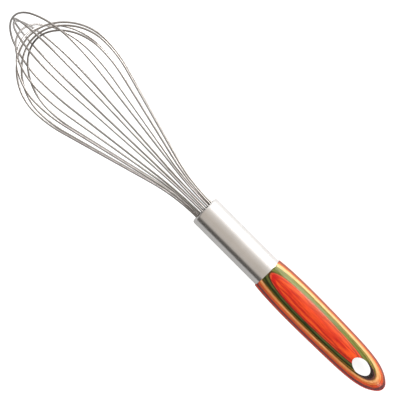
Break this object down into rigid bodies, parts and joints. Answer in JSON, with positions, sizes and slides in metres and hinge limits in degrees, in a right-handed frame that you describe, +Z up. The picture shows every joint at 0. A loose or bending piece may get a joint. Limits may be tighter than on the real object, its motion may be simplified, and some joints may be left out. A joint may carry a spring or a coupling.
{
  "type": "wire whisk",
  "caption": "Balloon whisk with nested wire loops, a plain metal ferrule and a turned handle of dyed laminated wood with an oval hang hole.",
  "frame": {"origin": "bottom centre of the bounding box, on the surface the whisk lies on", "axes": "+X towards the handle's butt, in the vertical plane of the whisk's long axis; +Z up; +Y to the side. The whisk lies on two wires and the handle's underside, so its long axis drops 4.6 degrees towards +X"},
  "size_m": [0.2985, 0.0588, 0.0584],
  "materials": {
    "loop_wire": "polished",
    "ferrule_steel": "satin",
    "plug_resin": "semi-gloss",
    "veneer_red": "gloss",
    "veneer_green": "gloss",
    "veneer_natural": "gloss",
    "veneer_orange": "gloss",
    "veneer_purple": "gloss"
  },
  "bodies": {
    "root": {"wire_loop_1": "loop_wire", "wire_loop_2": "loop_wire", "wire_loop_3": "loop_wire", "wire_loop_4": "loop_wire", "wire_loop_5": "loop_wire", "wire_loop_6": "loop_wire", "wire_loop_7": "loop_wire", "wire_loop_8": "loop_wire", "ferrule": "ferrule_steel", "wire_plug": "plug_resin", "veneer_01_red": "veneer_red", "veneer_02_green": "veneer_green", "veneer_03_natural": "veneer_natural", "veneer_04_orange": "veneer_orange", "veneer_05_purple": "veneer_purple", "veneer_06_red": "veneer_red", "veneer_07_green": "veneer_green", "veneer_08_natural": "veneer_natural", "veneer_09_orange": "veneer_orange", "veneer_10_purple": "veneer_purple", "veneer_11_red": "veneer_red", "veneer_12_green": "veneer_green", "veneer_13_natural": "veneer_natural", "veneer_14_orange": "veneer_orange"}
  },
  "joints": []
}
